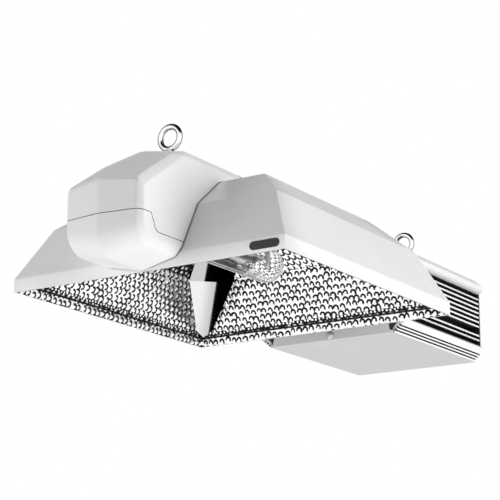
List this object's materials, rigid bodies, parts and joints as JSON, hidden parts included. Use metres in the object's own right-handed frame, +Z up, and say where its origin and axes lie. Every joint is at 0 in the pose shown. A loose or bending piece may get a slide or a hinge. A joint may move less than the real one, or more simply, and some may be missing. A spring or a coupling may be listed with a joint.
{
  "type": "grow lamp",
  "caption": "Hanging horticultural grow lamp with a square reflector hood, a horizontal single-ended lamp, a lampholder cap, a spine and a finned ballast box.",
  "frame": {"origin": "on the spine's flat top face, above the centre of the reflector hood", "axes": "+X from the lampholder cap towards the ballast, along the spine and the lamp; +Z up, out of the hood's closed side; +Y to the left when looking along +X"},
  "size_m": [0.5592, 0.2802, 0.144],
  "materials": {
    "hood_paint": "smooth powder coat",
    "reflector": "dimpled mirror",
    "deflector": "mirror",
    "cap_plastic": "moulded satin",
    "ceramic": "glazed ceramic",
    "brass": "satin",
    "zinc": "zinc plated",
    "chrome": "polished",
    "wire": "matte",
    "glass": "clear",
    "arc_ceramic": "translucent ceramic",
    "ballast_paint": "powder-coated extrusion",
    "ballast_panel": "satin grey",
    "gasket": "matte",
    "board": "solder mask",
    "copper": "enamelled winding",
    "ferrite": "matte",
    "capacitor": "sleeve",
    "black_plastic": "satin",
    "lens": "tinted"
  },
  "bodies": {
    "fixture": {"hood_near": "hood_paint", "hood_far": "hood_paint", "hood_left": "hood_paint", "hood_right": "hood_paint", "hood_top": "hood_paint", "hood_rivets": "zinc", "liner_near": "reflector", "liner_far": "reflector", "liner_left": "reflector", "liner_right": "reflector", "liner_top": "reflector", "corner_deflectors": "deflector", "liner_screws": "zinc", "name_plate": "black_plastic", "cap_upper_shell": "cap_plastic", "lampholder_bracket": "zinc", "lampholder_body": "ceramic", "lampholder_shell": "brass", "lampholder_contact": "brass", "bracket_screws": "zinc", "spine_channel": "zinc", "spine_cover": "cap_plastic", "spine_screws": "zinc", "lead_wires": "wire", "grommets": "gasket", "eye_washers": "zinc", "ballast_upper_case": "ballast_paint", "ballast_lower_case": "ballast_paint", "ballast_base_panel": "ballast_panel", "ballast_near_plate": "ballast_panel", "ballast_far_plate": "ballast_panel", "ballast_gaskets": "gasket", "plate_screws": "zinc", "ballast_spacers": "gasket", "circuit_board": "board", "board_standoffs": "brass", "transformer_core": "ferrite", "transformer_winding": "copper", "filter_choke": "copper", "capacitors": "capacitor", "heat_sink_bar": "zinc", "terminal_block": "board", "power_inlet": "black_plastic", "control_ports": "black_plastic", "dimmer_control": "board", "status_lens": "lens"},
    "near_hanger": {"eye_bolt_near": "chrome", "eye_nut_near": "zinc"},
    "far_hanger": {"eye_bolt_far": "chrome", "eye_nut_far": "zinc"},
    "lamp": {"lamp_glass": "glass", "lamp_arc_tube": "arc_ceramic", "lamp_frame": "zinc", "lamp_support": "zinc", "lamp_base": "zinc", "lamp_contact": "brass"},
    "cap_cover": {"cap_lower_cover": "cap_plastic"},
    "dimmer": {"dimmer_knob": "black_plastic", "dimmer_shaft": "zinc"}
  },
  "joints": [
    {"name": "near_eye_swivel", "type": "hinge", "parent": "fixture", "child": "near_hanger", "pos_m": [-0.1068, 0, 0], "axis": [0, 0, 1], "continuous": true},
    {"name": "far_eye_swivel", "type": "hinge", "parent": "fixture", "child": "far_hanger", "pos_m": [0.3172, 0, 0], "axis": [0, 0, 1], "continuous": true},
    {"name": "lamp_withdraw", "type": "slide", "parent": "fixture", "child": "lamp", "axis": [1, 0, 0], "range_m": [0, 0.036]},
    {"name": "cap_cover_slide", "type": "slide", "parent": "fixture", "child": "cap_cover", "axis": [-0.4548, 0, -0.8906], "range_m": [0, 0.06]},
    {"name": "dimmer_turn", "type": "hinge", "parent": "fixture", "child": "dimmer", "pos_m": [0.3407, -0.034, -0.048], "axis": [1, 0, 0], "range_deg": [0, 270]}
  ]
}
